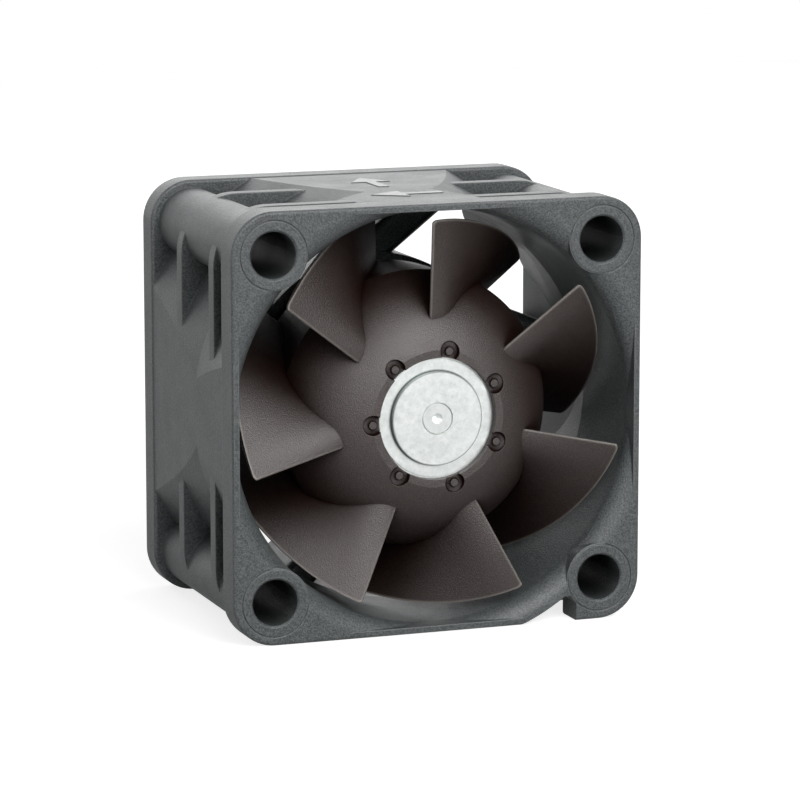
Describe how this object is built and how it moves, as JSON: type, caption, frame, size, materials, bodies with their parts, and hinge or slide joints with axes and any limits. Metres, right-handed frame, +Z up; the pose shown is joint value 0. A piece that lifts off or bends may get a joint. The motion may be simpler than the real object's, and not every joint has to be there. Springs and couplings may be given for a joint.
{
  "type": "cooling fan",
  "caption": "Square axial cooling fan with an open duct, a hub with twisted blades on a bright steel cup, and four corner screw holes.",
  "frame": {"origin": "centre of the square frame, on the fan axis half way between the two faces", "axes": "+Y along the air flow from the inlet face to the outlet face, +Z up, +X to the right as seen from the inlet"},
  "size_m": [0.04, 0.028, 0.04],
  "materials": {
    "frame_plastic": "satin",
    "impeller_plastic": "matte",
    "plated_steel": "satin",
    "bright_steel": "polished",
    "spring_steel": "satin",
    "core_steel": "satin",
    "magnet": "matte",
    "brass": "satin",
    "tinned_pins": "satin",
    "copper_wire": "gloss",
    "insulator_plastic": "matte",
    "board": "satin",
    "chip_plastic": "matte",
    "capacitor_can": "satin",
    "resistor_body": "matte",
    "cage_plastic": "matte"
  },
  "bodies": {
    "frame": {"housing": "frame_plastic", "bearing_sleeve": "brass", "preload_spring": "spring_steel", "stator_core": "core_steel", "front_insulator": "insulator_plastic", "rear_insulator": "insulator_plastic", "coil_1": "copper_wire", "coil_2": "copper_wire", "coil_3": "copper_wire", "coil_4": "copper_wire", "terminal_pins": "tinned_pins", "circuit_board": "board", "driver_chip": "chip_plastic", "hall_sensor": "chip_plastic", "filter_capacitor": "capacitor_can", "protection_diode": "chip_plastic", "chip_resistors": "resistor_body", "front_bearing_outer_ring": "bright_steel", "rear_bearing_outer_ring": "bright_steel", "front_bearing_shields": "spring_steel", "rear_bearing_shields": "spring_steel"},
    "rotor": {"impeller": "impeller_plastic", "rotor_cup": "plated_steel", "magnet_ring": "magnet", "shaft": "bright_steel", "shaft_bush": "brass", "retaining_ring": "spring_steel", "front_bearing_inner_ring": "bright_steel", "rear_bearing_inner_ring": "bright_steel"},
    "front_ball_set": {"front_bearing_balls": "bright_steel", "front_bearing_cage": "cage_plastic"},
    "rear_ball_set": {"rear_bearing_balls": "bright_steel", "rear_bearing_cage": "cage_plastic"}
  },
  "joints": [
    {"name": "impeller_spin", "type": "hinge", "parent": "frame", "child": "rotor", "pos_m": [0, 0, 0], "axis": [0, -1, 0], "continuous": true},
    {"name": "front_ball_set_spin", "type": "hinge", "parent": "frame", "child": "front_ball_set", "pos_m": [0, 0, 0], "axis": [0, -1, 0], "continuous": true},
    {"name": "rear_ball_set_spin", "type": "hinge", "parent": "frame", "child": "rear_ball_set", "pos_m": [0, 0, 0], "axis": [0, -1, 0], "continuous": true}
  ],
  "couplings": [
    {"joint": "front_ball_set_spin", "follows": "impeller_spin", "ratio": 0.399},
    {"joint": "rear_ball_set_spin", "follows": "impeller_spin", "ratio": 0.399}
  ]
}
